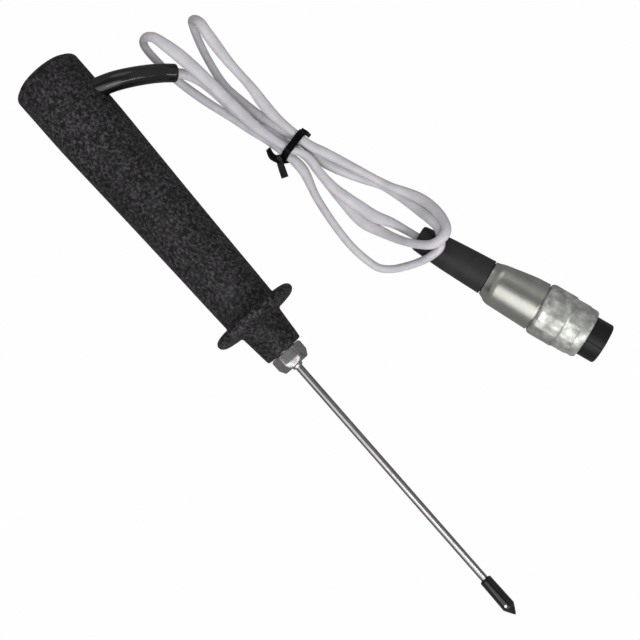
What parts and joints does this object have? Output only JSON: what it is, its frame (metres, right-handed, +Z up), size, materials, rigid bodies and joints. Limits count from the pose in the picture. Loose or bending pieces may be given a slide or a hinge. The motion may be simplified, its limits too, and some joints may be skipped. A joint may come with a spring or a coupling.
{
  "type": "grain moisture meter probe",
  "caption": "Hand-held insertion probe: tapered handle with a finger guard, thin steel rod with a push-on tip cap, and a tied cable ending in a round screw connector.",
  "frame": {"origin": "under the middle of the probe's length, on its centre line, at the height of the surface that it lies on", "axes": "+X along the probe towards its pointed tip, +Y towards the side where the cable leaves, +Z up from the surface"},
  "size_m": [0.2321, 0.1012, 0.031],
  "materials": {
    "grained_plastic": "moulded near-black plastic with a fine spark-eroded grain, satin",
    "brass": "turned, plain",
    "bright_nickel": "bright nickel plate on a turned and chamfered hexagon",
    "rod_steel": "drawn stainless steel tube, fine lengthwise grain",
    "cap_plastic": "gloss black",
    "ceramic": "unglazed ceramic",
    "red_insulation": "red wire insulation",
    "blue_insulation": "blue wire insulation",
    "splice_metal": "tinned crimp",
    "sleeve_rubber": "smooth black rubber with a wet-looking gloss",
    "silicone_jacket": "light grey silicone, satin, slightly translucent",
    "tie_plastic": "black flexible band",
    "boot_rubber": "charcoal moulded rubber, satin",
    "satin_nickel": "satin nickel plate with a faint warm tint",
    "carrier_plastic": "black glass-filled plastic",
    "contact_gold": "gold-flashed socket contacts"
  },
  "bodies": {
    "probe": {"handle_shell": "grained_plastic", "rear_cap": "grained_plastic", "nose_bush": "bright_nickel", "bush_locknut": "brass", "collet_nut": "bright_nickel", "split_collet": "bright_nickel", "probe_rod": "rod_steel", "sensing_element": "ceramic", "sensor_lead_1": "red_insulation", "sensor_lead_2": "blue_insulation", "splice_1": "splice_metal", "splice_2": "splice_metal", "handle_core_1": "red_insulation", "handle_core_2": "blue_insulation", "cable_retainer": "brass", "cable_sleeve": "sleeve_rubber", "cable": "silicone_jacket", "cable_tie": "tie_plastic", "connector_boot": "boot_rubber", "back_shell": "satin_nickel", "cable_clamp": "satin_nickel", "inner_sleeve": "satin_nickel", "snap_ring": "rod_steel", "contact_carrier": "carrier_plastic", "connector_core_1": "red_insulation", "connector_core_2": "blue_insulation", "contact_1": "contact_gold", "contact_2": "contact_gold", "contact_3": "contact_gold", "contact_4": "contact_gold", "contact_5": "contact_gold"},
    "cap": {"tip_cap": "cap_plastic"},
    "ring": {"coupling_ring": "satin_nickel"}
  },
  "joints": [
    {"name": "tip_cap_slide", "type": "slide", "parent": "probe", "child": "cap", "axis": [0.9995, 0, 0.0328], "range_m": [0, 0.016]},
    {"name": "coupling_ring_turn", "type": "hinge", "parent": "probe", "child": "ring", "pos_m": [0.05686, 0.07462, 0.00985], "axis": [0.9466, 0.3112, 0.084], "continuous": true}
  ]
}
